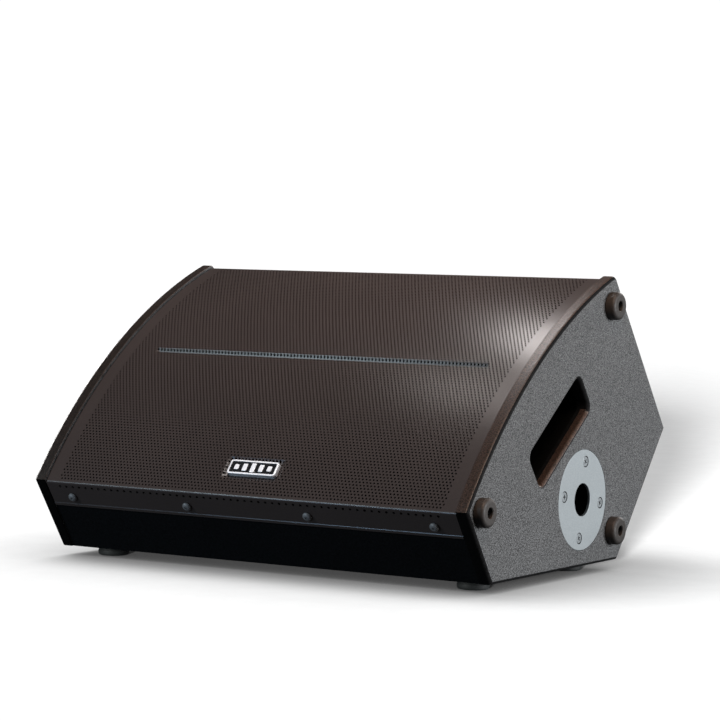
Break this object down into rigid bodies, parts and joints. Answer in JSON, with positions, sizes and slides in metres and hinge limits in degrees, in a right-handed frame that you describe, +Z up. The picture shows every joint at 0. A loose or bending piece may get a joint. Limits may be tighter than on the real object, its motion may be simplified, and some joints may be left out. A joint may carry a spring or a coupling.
{
  "type": "stage monitor wedge",
  "caption": "Floor monitor loudspeaker with a curved perforated front, sloped cabinet, side handle slots, pole socket and rubber bumpers.",
  "frame": {"origin": "on the floor under the middle of the whole object's footprint, side bumpers included", "axes": "+X towards the side with the pole socket, across the front; +Y from the front edge to the amplifier panel; +Z up"},
  "size_m": [0.572, 0.4516, 0.327],
  "materials": {
    "textured_paint": "dark grey textured water-based paint on birch plywood",
    "black_paint": "black textured paint on birch plywood",
    "grille_steel": "dark brown-black satin powder coat on perforated steel",
    "foam_black": "open-cell acoustic foam",
    "rubber_black": "matt moulded rubber",
    "surround_rubber": "matt butyl rubber roll",
    "zinc_plate": "pale satin zinc plating",
    "screw_steel": "blackened steel",
    "badge_metal": "bright rim around a satin black field",
    "black_plastic": "black moulded plastic, fine grain",
    "cone_paper": "coated paper pulp",
    "cast_alloy": "black-coated die casting",
    "ferrite": "grey ceramic ring between steel plates",
    "copper_wire": "wound copper wire",
    "spider_cloth": "varnished corrugated cloth",
    "black_aluminium": "black powder coat",
    "circuit_board": "green solder mask",
    "led_lens": "clear green lens"
  },
  "bodies": {
    "cabinet": {"side_panel_left": "textured_paint", "side_panel_right": "textured_paint", "bottom_panel": "textured_paint", "rear_lower_panel": "textured_paint", "rear_upper_panel": "textured_paint", "front_panel": "black_paint", "baffle_board": "black_paint", "grille": "grille_steel", "grille_foam": "foam_black", "side_bumper_front": "rubber_black", "side_bumper_top": "rubber_black", "side_bumper_rear": "rubber_black", "foot_front_left": "rubber_black", "foot_front_right": "rubber_black", "foot_rear_left": "rubber_black", "foot_rear_right": "rubber_black", "woofer_surround": "surround_rubber", "pole_socket": "zinc_plate", "pole_socket_screw_1": "zinc_plate", "pole_socket_screw_2": "zinc_plate", "pole_socket_screw_3": "zinc_plate", "pole_socket_screw_4": "zinc_plate", "grille_screw_1": "screw_steel", "grille_screw_2": "screw_steel", "grille_screw_3": "screw_steel", "grille_screw_4": "screw_steel", "bumper_screw_front": "screw_steel", "bumper_screw_top": "screw_steel", "bumper_screw_rear": "screw_steel", "amp_screw_1": "screw_steel", "amp_screw_2": "screw_steel", "amp_screw_3": "screw_steel", "amp_screw_4": "screw_steel", "badge_plate": "badge_metal", "handle_cup_left": "black_plastic", "handle_cup_right": "black_plastic", "port_tube_left": "black_plastic", "port_tube_right": "black_plastic", "hf_horn": "black_plastic", "input_socket": "black_plastic", "link_socket": "black_plastic", "mains_inlet": "black_plastic", "power_switch_frame": "black_plastic", "driver_basket": "cast_alloy", "compression_driver": "cast_alloy", "driver_magnet": "ferrite", "spider": "spider_cloth", "amp_panel": "black_aluminium", "amp_housing": "black_aluminium", "amp_heatsink": "black_aluminium", "amp_board": "circuit_board", "status_lens": "led_lens"},
    "cone": {"woofer_cone": "cone_paper", "voice_coil": "copper_wire"},
    "knob": {"level_knob": "black_plastic"},
    "rocker": {"power_rocker": "black_plastic"},
    "latch": {"input_latch": "screw_steel"},
    "button": {"ground_lift_button": "black_plastic"}
  },
  "joints": [
    {"name": "woofer_travel", "type": "slide", "parent": "cabinet", "child": "cone", "axis": [0, -0.5948, 0.8039], "range_m": [-0.005, 0.005], "stiffness_N_per_m": 1500},
    {"name": "level_knob_turn", "type": "hinge", "parent": "cabinet", "child": "knob", "pos_m": [-0.108, 0.1631, 0.25011], "axis": [0, 0.8039, 0.5948], "range_deg": [-150, 150]},
    {"name": "power_rocker_tilt", "type": "hinge", "parent": "cabinet", "child": "rocker", "pos_m": [-0.116, 0.19602, 0.19486], "axis": [1, 0, 0], "range_deg": [0, 16]},
    {"name": "input_latch_press", "type": "slide", "parent": "cabinet", "child": "latch", "axis": [0, -0.8039, -0.5948], "range_m": [0, 0.002], "stiffness_N_per_m": 150, "springref_m": -0.002},
    {"name": "ground_lift_button_press", "type": "slide", "parent": "cabinet", "child": "button", "axis": [0, -0.8039, -0.5948], "range_m": [0, 0.002], "stiffness_N_per_m": 250, "springref_m": -0.002}
  ]
}
